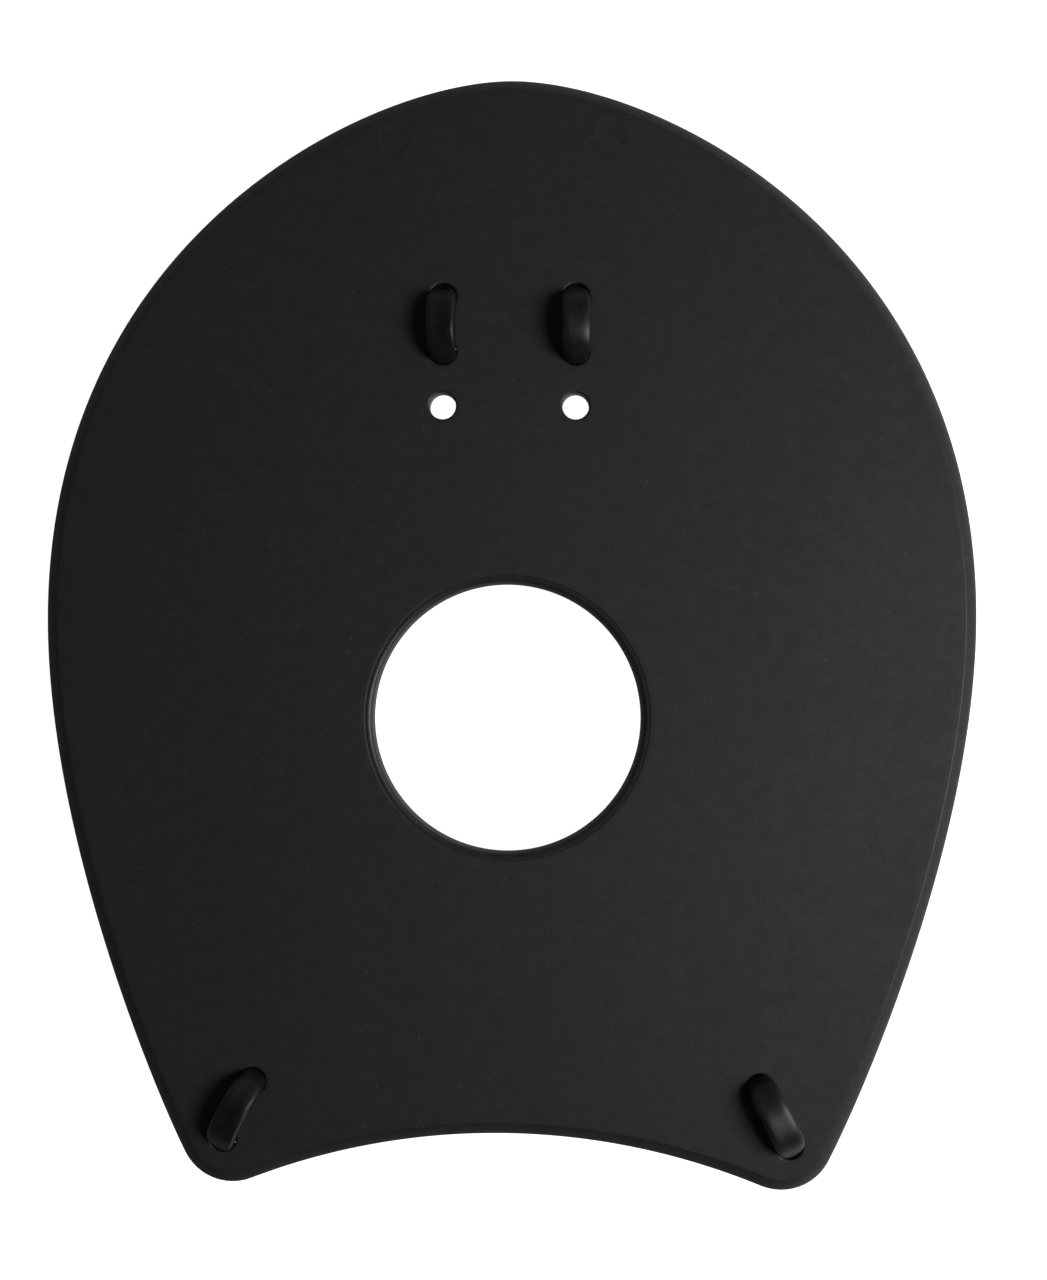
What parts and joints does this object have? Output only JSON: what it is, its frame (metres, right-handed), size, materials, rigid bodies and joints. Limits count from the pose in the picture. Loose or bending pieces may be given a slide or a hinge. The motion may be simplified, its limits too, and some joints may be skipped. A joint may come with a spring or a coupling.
{
  "type": "swimming hand paddle",
  "caption": "Flat shield-shaped swim training hand paddle with a round centre hole and two rubber tube straps threaded through it, one for a finger and one for the wrist.",
  "frame": {"origin": "on the surface that the paddle stands on, below the middle of the plate's outline", "axes": "+X across the hand, +Y from the wrist towards the fingertips, +Z out of the face that pushes the water"},
  "size_m": [0.175, 0.208, 0.0338],
  "materials": {
    "plate": "satin black moulded plastic",
    "tube": "smooth black rubber tubing"
  },
  "bodies": {
    "paddle": {"paddle_plate": "plate", "finger_tube_left_end": "tube", "finger_tube_right_end": "tube", "wrist_tube_left_end": "tube", "wrist_tube_right_end": "tube"},
    "finger_loop": {"finger_tube_loop": "tube"},
    "wrist_loop": {"wrist_tube_loop": "tube"}
  },
  "joints": [
    {"name": "finger_loop_fold", "type": "hinge", "parent": "paddle", "child": "finger_loop", "pos_m": [0, 0.05255, 0.02145], "axis": [1, 0, 0], "range_deg": [-75, 12], "stiffness_Nm_per_rad": 0.015},
    {"name": "wrist_loop_fold", "type": "hinge", "parent": "paddle", "child": "wrist_loop", "pos_m": [0, -0.0953, 0.02145], "axis": [1, 0, 0], "range_deg": [-75, 12], "stiffness_Nm_per_rad": 0.015}
  ]
}
